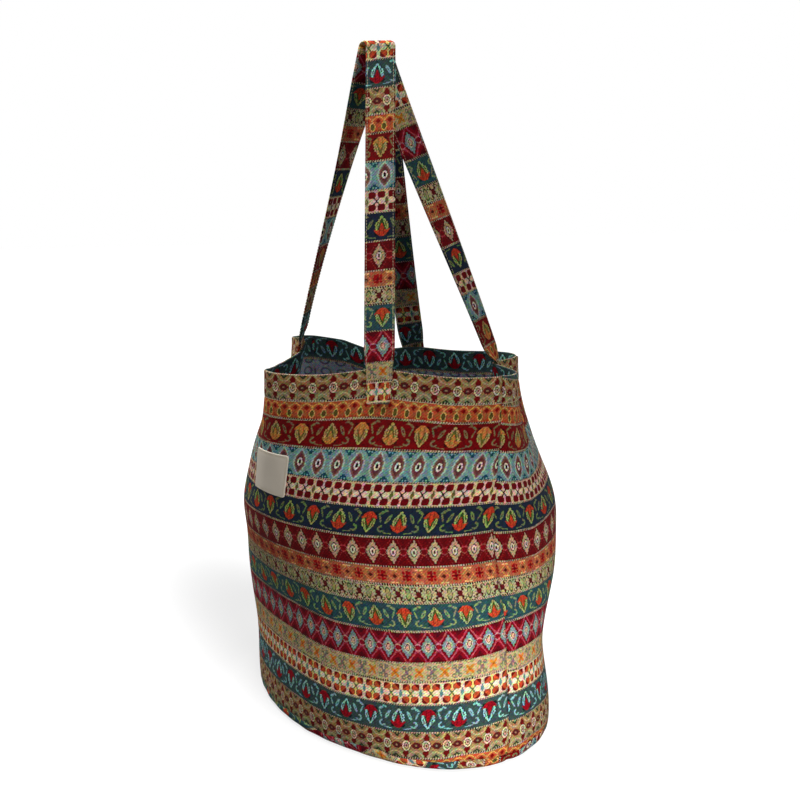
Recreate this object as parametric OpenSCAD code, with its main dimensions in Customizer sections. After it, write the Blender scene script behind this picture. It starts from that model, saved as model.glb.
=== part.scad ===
// Woven shopper tote, standing open with both handles drawn up to one point.
// Two panels meet at the side seams, an oval panel closes the bottom, and each
// panel carries one folded strap whose feet are sewn to its outside.
// Front panel faces -Y, the side seams lie near +X and -X, and the bottom rests on Z = 0.

/* [Body] */
// Length of the bottom oval, from side seam to side seam
base_length = 426; // [340:1:500]
// Depth of the bottom oval, from front to back
base_depth = 290; // [220:1:360]
// Length of the section at the waist, a third of the way up
waist_length = 412; // [330:1:490]
// Depth of the section at the waist
waist_depth = 282; // [210:1:350]
// Length of the section at the belly, above the middle
belly_length = 362; // [280:1:420]
// Depth of the section at the belly
belly_depth = 334; // [260:1:400]
// Height of the rim over the floor
rim_height = 375; // [320:1:460]
// Height of the seam round the bottom
base_seam_height = 10; // [6:0.5:20]

/* [Mouth] */
// Side of the mouth that faces the front right foot
mouth_width = 258; // [200:1:290]
// Side of the mouth between the two drawn in folds
mouth_depth = 276; // [220:1:310]
// Turn of the mouth about the vertical, in degrees
mouth_turn = 57; // [40:1:70]
// Turn of the side seams from the oval's ends, in degrees
seam_turn = 4; // [0:0.5:12]
// Turn of the side seams from there up to the rim, in degrees
rim_twist = 6; // [-6:0.5:10]
// Squareness of the mouth's corners
mouth_power = 6; // [3:0.5:9]
// Depth of the fold at the foot that is pulled in most
deep_fold = 27; // [10:1:36]
// Depth of the fold at the other foot
shallow_fold = 5; // [0:1:12]
// Half width of a fold
fold_reach = 44; // [30:1:60]
// Lift of the rim at a foot
foot_lift = 6; // [0:1:12]

/* [Cloth] */
// Thickness of the panel cloth
cloth = 1.4; // [0.8:0.1:2.4]
// Height of the hem that is turned to the inside
hem_height = 28; // [18:1:40]

/* [Handles] */
// Width of a strap
strap_width = 30; // [22:1:38]
// Thickness of the folded strap
strap_thick = 2.4; // [1.6:0.1:3.6]
// Distance between the two feet on one panel, as part of the panel's width
foot_share = 0.5; // [0.44:0.01:0.58]
// Height of the straps' top over the floor
top_height = 698; // [620:1:780]
// Radius of the strap's fold over the top
top_radius = 5; // [4:0.5:9]
// Distance of each strap's top from the other, along the mouth's depth
top_spread = 36; // [34:1:48]
// Sideways place of the straps' top
top_shift = -19; // [-26:1:20]
// Sideways step between the two straps' tops
top_step = -8; // [-12:1:12]
// Sideways lean of the front strap where it comes up to the top
top_lean = 9; // [0:1:14]
// Sideways sway of the back strap over its feet
back_sway = 8; // [0:1:12]

/* [Label] */
// Width of the label
label_width = 62; // [40:1:76]
// Height of the label
label_height = 43; // [30:1:64]
// Sideways place of the label from the front panel's middle
label_shift = 17; // [-20:1:20]
// Distance of the label's top edge from the rim
label_drop = 80; // [66:1:100]
// Thickness of the label
label_thick = 1.0; // [0.6:0.1:1.6]

/* [Hidden] */

// Parts of the height where the waist, the belly and the mouth's shape begin
waist_at = 0.30;
belly_at = 0.63;
mouth_from = 0.55;
fold_from = 0.70;
// Points of a section that its length is measured on
RING_STEPS = 144;
// Early part and power of the turn of the front and the back strap on their way up
front_turn = [0.10, 2.3];
back_turn = [0.28, 1.4];
// Rows of the strap between its foot and the top, and over the top
STRAP_ROWS = 12;
TOP_ROWS = 6;

// Length of the cloth round the bottom oval, and shares of it
girth = PI * (base_length + base_depth) / 2;
panel_edge = 0.25;
foot_at = panel_edge * foot_share;
strap_share = strap_width / girth;
label_share = label_width / girth;
label_at = label_shift / girth;

function mix(a, b, t) = a + (b - a) * t;
function ease(t) = let (c = max(0, min(1, t))) c * c * (3 - 2 * c);
function unit(v) = v / norm(v);
function turned(p, half) = half ? [-p[0], -p[1], p[2]] : p;

// Evenly spaced values from a up to b, without b itself
function steps(a, b, n) = [for (i = [0:n - 1]) mix(a, b, i / n)];

// Section of the body: an oval low down, which turns into the mouth's rounded square
function axis_at(base, waist, belly, h) =
    mix(mix(base, waist, ease(h / waist_at)), belly, ease((h - waist_at) / (belly_at - waist_at))) / 2;
function oval_radius(a, b, angle) = a * b / sqrt(pow(b * cos(angle), 2) + pow(a * sin(angle), 2));
function mouth_radius(angle) = let (c = abs(cos(angle - mouth_turn)), s = abs(sin(angle - mouth_turn)))
    pow(pow(2 * c / mouth_width, mouth_power) + pow(2 * s / mouth_depth, mouth_power), -1 / mouth_power);
function radius_at(angle, h) = mix(
    oval_radius(axis_at(base_length, waist_length, belly_length, h),
                axis_at(base_depth, waist_depth, belly_depth, h), angle),
    mouth_radius(angle), ease((h - mouth_from) / (1 - mouth_from)));

// Each section's angles listed against the share of its length, from the left seam round
function ring_table(h) = let (
    start = -180 + seam_turn + rim_twist * ease((h - mouth_from) / (1 - mouth_from)),
    angles = [for (i = [0:RING_STEPS]) start + 360 * i / RING_STEPS],
    spots = [for (a = angles) radius_at(a, h) * [cos(a), sin(a)]],
    gaps = [for (i = [1:RING_STEPS]) norm(spots[i] - spots[i - 1])],
    sums = [for (i = 0, s = 0; i <= RING_STEPS; s = s + (i < RING_STEPS ? gaps[i] : 0), i = i + 1) s])
    [for (i = [0:RING_STEPS]) [sums[i] / sums[RING_STEPS], angles[i]]];

function near_foot(share, foot) = exp(-pow((share - foot) * girth / fold_reach, 2));

// A spot on the wall: share is the part of the way round from the front's middle,
// table is the section's own table, z its height and inset the depth under the outside
function wall_spot(share, table, z, inset) = let (
    h = z / rim_height,
    pull = ease((h - fold_from) / (1 - fold_from)),
    angle = lookup(share + panel_edge, table),
    deep = near_foot(share, -foot_at),
    shallow = near_foot(share, foot_at),
    reach = radius_at(angle, h) - pull * (deep_fold * deep + shallow_fold * shallow) - inset)
    [reach * cos(angle), reach * sin(angle), z + foot_lift * pull * (deep + shallow)];

// Columns of the front panel from seam to seam and rows from the bottom seam to the rim
columns = concat(
    steps(-panel_edge, -foot_at - strap_share / 2, 6),
    steps(-foot_at - strap_share / 2, -foot_at + strap_share / 2, 4),
    steps(-foot_at + strap_share / 2, label_at - label_share / 2, 4),
    steps(label_at - label_share / 2, label_at + label_share / 2, 6),
    steps(label_at + label_share / 2, foot_at - strap_share / 2, 4),
    steps(foot_at - strap_share / 2, foot_at + strap_share / 2, 4),
    steps(foot_at + strap_share / 2, panel_edge, 6),
    [panel_edge]);
LEFT_FOOT = 6;
LABEL_FIRST = 14;
RIGHT_FOOT = 24;

label_top = rim_height - label_drop;
hem_low = rim_height - hem_height;
rows = concat(
    steps(base_seam_height, label_top - label_height, 9),
    steps(label_top - label_height, label_top, 3),
    steps(label_top, hem_low - cloth, 3),
    [hem_low - cloth],
    steps(hem_low, rim_height, 2),
    [rim_height]);
LABEL_ROW = 9;
HEM_ROW = 16;
tables = [for (z = rows) ring_table(z / rim_height)];

function wall_at(row, column, inset) = wall_spot(columns[column], tables[row], rows[row], inset);

// Closed sheet between two grids of the same size, the first one on the outside
module sheet(outside, inside) {
    m = len(outside);
    n = len(outside[0]);
    function a(i, j) = i * n + j;
    function b(i, j) = m * n + i * n + j;
    polyhedron(
        points = concat([for (line = outside) each line], [for (line = inside) each line]),
        faces = concat(
            [for (i = [0:m - 2], j = [0:n - 2]) each [
                [a(i, j), a(i + 1, j), a(i + 1, j + 1)], [a(i, j), a(i + 1, j + 1), a(i, j + 1)],
                [b(i, j), b(i + 1, j + 1), b(i + 1, j)], [b(i, j), b(i, j + 1), b(i + 1, j + 1)]]],
            [for (i = [0:m - 2]) each [
                [a(i, 0), b(i, 0), b(i + 1, 0)], [a(i, 0), b(i + 1, 0), a(i + 1, 0)],
                [a(i, n - 1), b(i + 1, n - 1), b(i, n - 1)], [a(i, n - 1), a(i + 1, n - 1), b(i + 1, n - 1)]]],
            [for (j = [0:n - 2]) each [
                [a(0, j), b(0, j + 1), b(0, j)], [a(0, j), a(0, j + 1), b(0, j + 1)],
                [a(m - 1, j), b(m - 1, j), b(m - 1, j + 1)],
                [a(m - 1, j), b(m - 1, j + 1), a(m - 1, j + 1)]]]),
        convexity = 6);
}

module panel(half) {
    sheet(
        [for (i = [0:len(rows) - 1]) [for (j = [0:len(columns) - 1]) turned(wall_at(i, j, 0), half)]],
        [for (i = [0:len(rows) - 1]) [for (j = [0:len(columns) - 1])
            turned(wall_at(i, j, i < HEM_ROW ? cloth : 2 * cloth), half)]]);
}

// Bottom: a flat oval whose edge turns up to the seam
base_turn = 0.6 * base_seam_height;
function base_ring(inset, z) = [for (half = [false, true]) for (j = [0:len(columns) - 2])
    let (spot = turned(wall_at(0, j, inset), half)) [spot[0], spot[1], z]];

module base_dish() {
    rings = [
        base_ring(base_turn, 0),
        base_ring(0.3 * base_turn, 0.3 * base_turn),
        base_ring(0, base_seam_height),
        base_ring(cloth, base_seam_height),
        base_ring(0.3 * base_turn + cloth, 0.3 * base_turn + cloth),
        base_ring(base_turn + cloth, cloth)];
    n = len(rings[0]);
    m = len(rings);
    function at(i, j) = i * n + (j + n) % n;
    polyhedron(
        points = concat([for (ring = rings) each ring], [[0, 0, 0], [0, 0, cloth]]),
        faces = concat(
            [for (i = [0:m - 2], j = [0:n - 1]) each [
                [at(i, j), at(i + 1, j), at(i + 1, j + 1)], [at(i, j), at(i + 1, j + 1), at(i, j + 1)]]],
            [for (j = [0:n - 1]) [m * n, at(0, j), at(0, j + 1)]],
            [for (j = [0:n - 1]) [m * n + 1, at(m - 1, j + 1), at(m - 1, j)]]),
        convexity = 4);
}

// Strap: a folded strip from one foot, up, over the top and down to the other foot
across = [-cos(mouth_turn), -sin(mouth_turn), 0];
toward = [sin(mouth_turn), -cos(mouth_turn), 0];
last_row = len(rows) - 1;

function foot_line(first, row, lift) = [for (k = [0:4])
    let (spot = wall_at(row, first + k, 0)) spot + lift * unit([spot[0], spot[1], 0])];
function curve(p, q, r, s, t) =
    pow(1 - t, 3) * p + 3 * pow(1 - t, 2) * t * q + 3 * (1 - t) * t * t * r + pow(t, 3) * s;
function curve_way(p, q, r, s, t) =
    unit((1 - t) * (1 - t) * (q - p) + 2 * (1 - t) * t * (r - q) + t * t * (s - r));

// One cross line of the strap: its middle, its run and the wanted direction across
function strap_line(middle, run, wanted, side) = let (
    flat = unit(wanted - (wanted * run) * run),
    out = cross(flat, run))
    [for (k = [-2:2]) middle + k * strap_width / 4 * flat + side * strap_thick / 2 * out];

function branch(first, top, wanted_foot, side, rising, sign) = let (
    low = foot_line(first, last_row, strap_thick / 2)[2],
    up = [0, 0, strap_width],
    knee = low + up + (sign < 0 ? -back_sway : 0) * across,
    twist = sign < 0 ? back_turn : front_turn)
    [for (i = [1:STRAP_ROWS]) let (
        t = i / (STRAP_ROWS + 1),
        run = curve_way(low, knee, top - up / 2, top, t),
        gone = twist[0] * ease(t / 0.12) + (1 - twist[0]) * pow(t, twist[1]),
        wanted = mix(wanted_foot, across, gone))
        strap_line(curve(low, knee, top - up / 2, top, t), rising ? run : -run, wanted, side)];

function reversed(list) = [for (i = [len(list) - 1:-1:0]) list[i]];

// Lines of the whole strap, side 1 on the outside and -1 on the inside
function strap_lines(side, sign) = let (
    lift = side > 0 ? strap_thick : 0,
    hub = top_spread / 2 * toward + (top_step / 2 - sign * top_shift) * across
        + [0, 0, top_height - top_radius - strap_thick / 2],
    lean = (sign > 0 ? top_lean : 0) * across,
    foot_out = foot_line(LEFT_FOOT, last_row, 0),
    wanted_left = unit(foot_out[4] - foot_out[0]))
    concat(
        [for (i = [HEM_ROW:last_row]) foot_line(LEFT_FOOT, i, lift)],
        branch(LEFT_FOOT, hub + lean - top_radius * toward, wanted_left, side, true, sign),
        [for (i = [0:TOP_ROWS]) let (angle = 180 - 180 * i / TOP_ROWS)
            strap_line(
                hub + (1 - cos(angle)) / 2 * lean + top_radius * (cos(angle) * toward + [0, 0, sin(angle)]),
                sin(angle) * toward - [0, 0, cos(angle)], across, side)],
        reversed(branch(RIGHT_FOOT, hub + top_radius * toward, across, side, false, sign)),
        [for (i = [last_row:-1:HEM_ROW]) reversed(foot_line(RIGHT_FOOT, i, lift))]);

module strap(sign) {
    sheet(
        [for (line = strap_lines(1, sign)) [for (spot = line) turned(spot, sign < 0)]],
        [for (line = strap_lines(-1, sign)) [for (spot = line) turned(spot, sign < 0)]]);
}

module front_panel() { color("firebrick") panel(false); }
module back_panel() { color("darkred") panel(true); }
module base_panel() { color("darkolivegreen") base_dish(); }
module front_handle() { color("darkorange") strap(1); }
module back_handle() { color("goldenrod") strap(-1); }
module label() {
    color("antiquewhite") sheet(
        [for (i = [LABEL_ROW:LABEL_ROW + 3]) [for (j = [LABEL_FIRST:LABEL_FIRST + 6]) wall_at(i, j, -label_thick)]],
        [for (i = [LABEL_ROW:LABEL_ROW + 3]) [for (j = [LABEL_FIRST:LABEL_FIRST + 6]) wall_at(i, j, 0)]]);
}

front_panel();
back_panel();
base_panel();
front_handle();
back_handle();
label();
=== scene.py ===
# %% [markdown]
# # A woven shopper tote
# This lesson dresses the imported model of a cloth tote: two banded jacquard panels sewn
# to an oval bottom, two folded cloth straps and one small blank patch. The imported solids
# give the sizes. Each cell below replaces one of them by a piece with the real cloth's
# folds, edges, stitches and weave. The frame is loaded first and is never moved.

# %% Load the frame
import math

import bpy
import numpy as np
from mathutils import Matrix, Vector


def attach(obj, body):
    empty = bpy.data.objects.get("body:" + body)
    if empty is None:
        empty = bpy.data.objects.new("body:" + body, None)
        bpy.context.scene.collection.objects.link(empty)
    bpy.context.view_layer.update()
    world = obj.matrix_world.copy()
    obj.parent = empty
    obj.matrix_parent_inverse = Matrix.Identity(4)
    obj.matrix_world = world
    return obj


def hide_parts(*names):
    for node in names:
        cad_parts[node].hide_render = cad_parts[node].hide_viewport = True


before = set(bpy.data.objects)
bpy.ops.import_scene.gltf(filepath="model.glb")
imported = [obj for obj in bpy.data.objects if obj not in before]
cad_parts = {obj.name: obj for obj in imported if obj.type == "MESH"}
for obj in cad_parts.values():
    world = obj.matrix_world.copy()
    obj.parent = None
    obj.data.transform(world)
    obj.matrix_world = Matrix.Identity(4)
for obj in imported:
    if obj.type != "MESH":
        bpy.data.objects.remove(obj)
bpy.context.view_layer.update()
print("nodes:", sorted(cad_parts))

# %% [markdown]
# The camera comes before any piece, so that every later look is taken from the place the
# photograph was taken from. It stands a little over the bag's rim, off the front right
# corner. A lens of 54 mm on a 36 mm sensor gives the mild perspective of a product shot.

# %% Camera
camera_data = bpy.data.cameras.new("camera")
camera_data.lens = 54
camera_data.sensor_width = 36
camera_data.shift_x = 0.0025
camera = bpy.data.objects.new("camera", camera_data)
bpy.context.scene.collection.objects.link(camera)
bpy.context.scene.camera = camera
VIEW_TURN = math.radians(63)
VIEW_FAR = 1.270
VIEW_HIGH = 0.560
VIEW_DOWN = 10.4
camera.location = (VIEW_FAR * math.sin(VIEW_TURN), -VIEW_FAR * math.cos(VIEW_TURN), VIEW_HIGH)
camera.rotation_euler = (math.radians(90 - VIEW_DOWN), 0, VIEW_TURN)
print("camera at", [round(value, 3) for value in camera.location])

# %% [markdown]
# ## The shape of the body
# The bag's wall is an oval near the floor and turns into a soft square at the mouth,
# because the four feet of the handles pull the rim outwards. A loft through drawn curves
# could make it, but a formula keeps the cloth's own length along every section, and the
# woven pattern needs that length. The numbers below are those of the solids, in mm.

# %% Sizes of the body
RIM = 375
SEAM = 10
HEM_LOW = 347
CLOTH = 1.4
BASE = (426, 290)
WAIST = (412, 282)
BELLY = (362, 334)
WAIST_AT = 0.30
BELLY_AT = 0.63
MOUTH_FROM = 0.55
FOLD_FROM = 0.70
MOUTH_WIDTH = 258
MOUTH_DEPTH = 276
MOUTH_TURN = math.radians(57)
MOUTH_POWER = 6
SEAM_TURN = math.radians(4)
RIM_TWIST = math.radians(6)
DEEP_FOLD = 27
SHALLOW_FOLD = 5
FOLD_REACH = 44
FOOT_LIFT = 6
GIRTH = math.pi * sum(BASE) / 2
FOOT_AT = 0.125


def mix(a, b, t):
    return a + (b - a) * t


def ease(t):
    t = np.clip(t, 0, 1)
    return t * t * (3 - 2 * t)


def hill(x, width):
    return np.exp(-((x / width) ** 2))


print("cloth round the bottom: %.0f mm" % GIRTH)

# %% Sections of the wall
SECTION_STEPS = 577


def axis_at(way, h):
    """Half the oval's length or depth, as way is 0 or 1, at a share of the height."""
    low = mix(BASE[way], WAIST[way], ease(h / WAIST_AT))
    return mix(low, BELLY[way], ease((h - WAIST_AT) / (BELLY_AT - WAIST_AT))) / 2


def mouth_share(h):
    return ease((h - MOUTH_FROM) / (1 - MOUTH_FROM))


def radius_at(angle, h):
    a = axis_at(0, h)
    b = axis_at(1, h)
    oval = a * b / np.hypot(b * np.cos(angle), a * np.sin(angle))
    wide = np.abs(2 * np.cos(angle - MOUTH_TURN) / MOUTH_WIDTH) ** MOUTH_POWER
    deep = np.abs(2 * np.sin(angle - MOUTH_TURN) / MOUTH_DEPTH) ** MOUTH_POWER
    return mix(oval, (wide + deep) ** (-1 / MOUTH_POWER), mouth_share(h))


sections = {}


def section(z):
    """Angles of one section against the share of its length, and that length in mm."""
    key = round(float(z), 3)
    if key not in sections:
        h = key / RIM
        start = -math.pi + SEAM_TURN + RIM_TWIST * mouth_share(h)
        angles = start + np.linspace(0, 2 * math.pi, SECTION_STEPS)
        reach = radius_at(angles, h)
        gaps = np.hypot(np.diff(reach * np.cos(angles)), np.diff(reach * np.sin(angles)))
        sums = np.concatenate([[0], np.cumsum(gaps)])
        sections[key] = (sums / sums[-1], angles, sums[-1])
    return sections[key]


print("cloth round the rim: %.0f mm" % section(RIM)[2])

# %% [markdown]
# Real cloth is never as smooth as its formula. The wall gets soft dents under the rim, a few
# broad sags, slack waves, a pinched valley with small puckers along each side seam, and a
# row of puckers where the bottom is sewn in. The rim hangs between the straps' feet and
# stands up beside them. A cloth simulation could make such folds too. Here they are added
# as small pushes in, out, up or down, so that each can be set to what the photograph shows.

# %% Folds and puckers of the cloth
# Each sag: on the back panel or not, height and reach up, place and reach around, push out.
BROAD_SAGS = [
    (False, 130, 55, -115, 75, 12.5), (False, 295, 35, -55, 60, 4.5), (True, 85, 40, -172, 60, -5),
    (True, 165, 35, -158, 60, 4), (True, 275, 25, -150, 60, -4), (False, 0, 30, 120, 60, -5)]
# Places along each rim from the panel's middle, with the rim's rise there, all in mm.
BACK_RIM = [(-281, 0), (-230, -3), (-170, -9), (-140, -12), (-79, -6), (-34, -11), (170, -15),
            (200, -14), (236, -2), (281, 5)]
FRONT_RIM = [(-281, 5), (-259, 7), (-214, 10), (-169, 11), (-146, 8), (-124, -2), (-101, -6),
             (-79, -7), (-56, -5), (-30, -2), (0, 0)]


def droop(share, half):
    """How much the rim stands above its level, in mm: lifted by a strap, or hanging."""
    return np.interp(share * GIRTH, *zip(*(BACK_RIM if half else FRONT_RIM)))


def slack(share, z, turn):
    """Push of the wall along its radius in mm, where positive is outwards."""
    h = z / RIM
    round_mm = share * GIRTH
    seam_gap = (0.25 - np.abs(share)) * GIRTH
    push = -4.5 * hill(round_mm - 196, 17) * ease((h - 0.62) / 0.34)
    push = push + 2.2 * hill(round_mm - 228, 22) * ease((h - 0.60) / 0.30)
    push = push - 2.5 * hill(round_mm + 40, 24) * ease((h - 0.70) / 0.30)
    wave = np.sin(round_mm / 41 + 2.1 * h + turn) * np.sin(5.3 * h + round_mm / 160 + 2 * turn)
    push = push + wave * ease(h / 0.15)
    push = push + 0.4 * np.sin(round_mm / 23 - 7 * h + turn) * ease((h - 0.1) / 0.4)
    push = push - 1.7 * hill(seam_gap, 4.0)
    push = push + 0.35 * np.sin(z / 3.7 + turn) * hill(seam_gap, 11)
    low = np.exp(-np.clip(z - SEAM, 0, 200) / 11)
    push = push + low * (-1.2 + 0.4 * np.sin(round_mm / 5.6 + turn) * np.sin(round_mm / 31))
    for back, height, tall, around, wide, out in BROAD_SAGS:
        if back == (turn > 0):
            push = push + out * hill(z - height, tall) * hill(round_mm - around, wide)
    push = push - 0.55 * hill(z - HEM_LOW - 1.5, 1.3)
    push = push + 0.35 * ease((z - HEM_LOW - 2) / 5)
    return push


def wall(share, z, inset=0.0, half=False):
    """Spots on the wall: share is the way round from the panel's middle, z the height."""
    share = np.asarray(share, float)
    h = z / RIM
    shares, angles = section(z)[:2]
    angle = np.interp(share + 0.25, shares, angles)
    pull = ease((h - FOLD_FROM) / (1 - FOLD_FROM))
    deep = hill((share + FOOT_AT) * GIRTH, FOLD_REACH)
    shallow = hill((share - FOOT_AT) * GIRTH, FOLD_REACH)
    reach = radius_at(angle, h) - pull * (DEEP_FOLD * deep + SHALLOW_FOLD * shallow) - inset
    reach = reach + slack(share, z, 1.3 if half else 0.0)
    lift = FOOT_LIFT * pull * (deep + shallow)
    lift = lift + droop(share, half) * ease((h - 0.55) / 0.42)
    side = -1 if half else 1
    return np.stack([side * reach * np.cos(angle), side * reach * np.sin(angle), z + lift], -1)


print("rim spot over the front foot:", wall([FOOT_AT], RIM).round(1)[0])

# %% [markdown]
# ## Writing shader maths as Python
# The weave is drawn by a few hundred small Math nodes, which nobody would like to place by
# hand. One class wraps a node's output socket and gives it Python's operators, so a line
# such as `(x + y) < 3` adds the two Math nodes that it reads like. The add method makes
# any other node: its settings come first, and then the values or links of its sockets.

# %% A value of a node tree
class Strand:
    def __init__(self, tree, socket=None):
        self.tree = tree
        self.socket = socket

    def add(self, kind, settings=None, inputs=None, output=0):
        node = self.tree.nodes.new(kind)
        for name, setting in (settings or {}).items():
            if name == "stops":
                self.fill_ramp(node.color_ramp, setting)
            else:
                setattr(node, name, setting)
        for name, value in (inputs or {}).items():
            if isinstance(value, Strand):
                self.tree.links.new(value.socket, node.inputs[name])
            else:
                node.inputs[name].default_value = value
        return Strand(self.tree, node.outputs[output] if node.outputs else None)

    def fill_ramp(self, ramp, stops):
        ramp.interpolation = "CONSTANT"
        while len(ramp.elements) > 1:
            ramp.elements.remove(ramp.elements[-1])
        for number, (place, colour) in enumerate(stops):
            stop = ramp.elements[0] if number == 0 else ramp.elements.new(place)
            stop.position = place
            stop.color = colour

    def math(self, operation, *values):
        return self.add("ShaderNodeMath", {"operation": operation}, dict(enumerate(values)))

    def __add__(self, other):
        return self.math("ADD", self, other)

    def __radd__(self, other):
        return self.math("ADD", other, self)

    def __sub__(self, other):
        return self.math("SUBTRACT", self, other)

    def __rsub__(self, other):
        return self.math("SUBTRACT", other, self)

    def __mul__(self, other):
        return self.math("MULTIPLY", self, other)

    def __rmul__(self, other):
        return self.math("MULTIPLY", other, self)

    def __lt__(self, other):
        return self.math("LESS_THAN", self, other)

    def __gt__(self, other):
        return self.math("GREATER_THAN", self, other)

    def __and__(self, other):
        return self.math("MULTIPLY", self, other)

    def __or__(self, other):
        return self.math("MAXIMUM", self, other)

    def __abs__(self):
        return self.math("ABSOLUTE", self)

    def fold(self, half):
        """The distance from the nearest multiple of twice half."""
        return self.math("PINGPONG", self, half)

    def lower(self, other):
        return self.math("MINIMUM", self, other)

    def plain(self, *shade):
        made = self.add("ShaderNodeRGB")
        made.socket.default_value = linear(*shade)
        return made

    def paint(self, mask, colour):
        """This colour, with another one laid over it where the mask is one."""
        return self.add("ShaderNodeMix", {"data_type": "RGBA"}, {0: mask, 6: self, 7: colour}, 2)

    def coats(self, *layers):
        """This colour under layers of paint, each a mask and a shade of three parts to 255."""
        colour = self
        for mask, *shade in layers:
            colour = colour.paint(mask, linear(*shade))
        return colour


def linear(red, green, blue):
    """A colour as a paint chart writes it, from 0 to 255, as the linear one of Blender."""
    parts = [value / 255 for value in (red, green, blue)]
    parts = [p / 12.92 if p <= 0.04045 else ((p + 0.055) / 1.055) ** 2.4 for p in parts]
    return (*parts, 1.0)


def material(name):
    made = bpy.data.materials.new(name)
    made.use_nodes = True
    made.node_tree.nodes.clear()
    return made, Strand(made.node_tree)


def surface(tree, inputs):
    """The Principled shader with these inputs, as the surface of the tree's material."""
    shader = tree.add("ShaderNodeBsdfPrincipled", {}, inputs)
    tree.add("ShaderNodeOutputMaterial", {}, {"Surface": shader})


print("black 50 in linear light: %.4f" % linear(50, 50, 50)[0])

# %% [markdown]
# ## The banded weave
# The cloth repeats fourteen woven bands every 340 mm. They belong to a few families: tulips
# that point up and down, medallions, blocks of four squares, rings, eyes and four narrow
# borders. Each family is one drawing. Where bands share one, a ramp on the band's number
# gives each its own colours.
# All places are in mm and are snapped to the weave's small cells, which makes the stepped
# edges of a jacquard. An image could hold all this, but formulas stay sharp at any size.

# %% Bands and cells of the weave
PITCH = 19.8
CELL_WIDE = PITCH / 24
CELL_HIGH = 0.72
BAND_HEIGHTS = [25.7, 17.9, 26.7, 28.4, 21.7, 27.4, 28.0, 17.6, 17.3, 27.9, 31.4, 19.1, 22.6, 27.3]
BAND_STARTS = [197, 181.6, 200.5, 195, 207, 172.5, 209.5, 204.5, 189.8, 203.2, 194, 185.7, 198, 167.3]
BAND_TOPS = np.concatenate([[0], np.cumsum(BAND_HEIGHTS)])
REPEAT = float(BAND_TOPS[-1])
BAND_MIDDLES = (BAND_TOPS[:-1] + BAND_TOPS[1:]) / 2


def by_band(band, colours):
    """The colour of each band, where a colour holds on until the next band named."""
    stops = [((number - 1) / 14, linear(*colours[number])) for number in sorted(colours)]
    stops[0] = (0.0, stops[0][1])
    return band.add("ShaderNodeValToRGB", {"stops": stops}, {"Fac": band})


def number_by_band(band, numbers):
    """A number of each band, written in the ramp as a share of 400."""
    stops = [(i / 14, (value / 400,) * 3 + (1.0,)) for i, value in enumerate(numbers)]
    return band.add("ShaderNodeValToRGB", {"stops": stops}, {"Fac": band}) * 400


def coats_by_band(band, numbers, ground, *layers):
    """A ground under layers of paint, each with one shade for each of the numbered bands."""
    colour = by_band(band, dict(zip(numbers, ground)))
    for mask, *shades in layers:
        colour = colour.paint(mask, by_band(band, dict(zip(numbers, shades))))
    return colour


def mirrored(u, half):
    """The way along the band from a motif's middle, and from the point between two motifs."""
    x = u.fold(half)
    return x, half - x


def oval(x, y, wide, high):
    """Below one inside an oval with these half sizes."""
    a = x * (1 / wide)
    b = y * (1 / high)
    return a * a + b * b


def leaf(x, y, degrees, long, short):
    """Below one inside an oval that is turned by some degrees."""
    c = math.cos(math.radians(degrees))
    s = math.sin(math.radians(degrees))
    return oval(x * c + y * s, y * c - x * s, long, short)


print("repeat of the weave: %.0f mm in %d bands" % (REPEAT, len(BAND_HEIGHTS)))

# %% Tulip bands
TULIP_GAP = 1.5 * PITCH


def tulips(u, y, band):
    far = u.fold(TULIP_GAP)
    turned = far > TULIP_GAP / 2
    x = far.lower(TULIP_GAP - far) * 1.12
    t = y * (turned * 2 - 1) * 1.08
    slip = leaf(far - 11.2, y + 3.0, 62, 5.0, 1.6)
    spot = oval(far - 16.2, y - 6.2, 3.6, 3.4)
    hook = (spot < 1.0) & (spot > 0.24) & ((far > 16.0) | (y > 7.4))
    stem = (abs(y - 11.4 + far * 0.12) < 0.5) & (far > 6.0) & (far < 14.0)
    sprig = leaf(far - 18.6, y + 8.6, 30, 3.0, 1.2) < 1.0
    sprig = sprig | (leaf(far - 14.8, y + 10.6, -24, 2.2, 1.0) < 1.0)
    twig = leaf(far - 18.8, y + 2.6, 112, 4.0, 0.8) < 1.0
    leaves = ((slip < 1.0) & (slip > 0.12)) | hook | stem | sprig | twig
    width = ((10.8 - t) * 0.8).lower(6.6) + t.fold(1.4) * 0.8
    cup = t > -5.2
    rib = (abs(x - (4.2 - t * 0.34)) < 0.55) & (x > 0.4) & (t > -3.6) & (t < 8.0)
    flame = (x < ((4.4 - t) * 0.42).lower(3.3)) & (t > -7.0)
    cap = (t < (x * 0.14 - 4.4)) & (t > (x * x * 0.09 - 10.4))
    vein = (abs(x - 2.3) < 0.5) & (t < -1.5) & (t > -8.6)
    edge = [(196, 168, 112), (172, 180, 112), (178, 190, 128), (166, 212, 208)]
    return coats_by_band(
        band, (3, 6, 10, 14), ((128, 14, 20), (38, 50, 68), (60, 94, 98), (70, 90, 88)),
        (leaves, (140, 126, 92), (124, 136, 88), (150, 168, 120), (150, 194, 194)),
        ((x < (width + 0.8)) & (t > -9.4), (72, 16, 18), (18, 26, 34), (36, 58, 56), (26, 36, 38)),
        ((x < width) & cup, *edge),
        ((x < (width - 1.7)) & cup, (108, 102, 56), (62, 80, 44), (84, 92, 48), (52, 66, 66)),
        (rib, *edge),
        (flame | cap, (204, 142, 80), (194, 78, 48), (204, 88, 56), (166, 18, 40)),
        (vein, (162, 104, 54), (150, 38, 26), (160, 50, 32), (122, 10, 30)))


print("tulips stand every %.1f mm" % TULIP_GAP)

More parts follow.
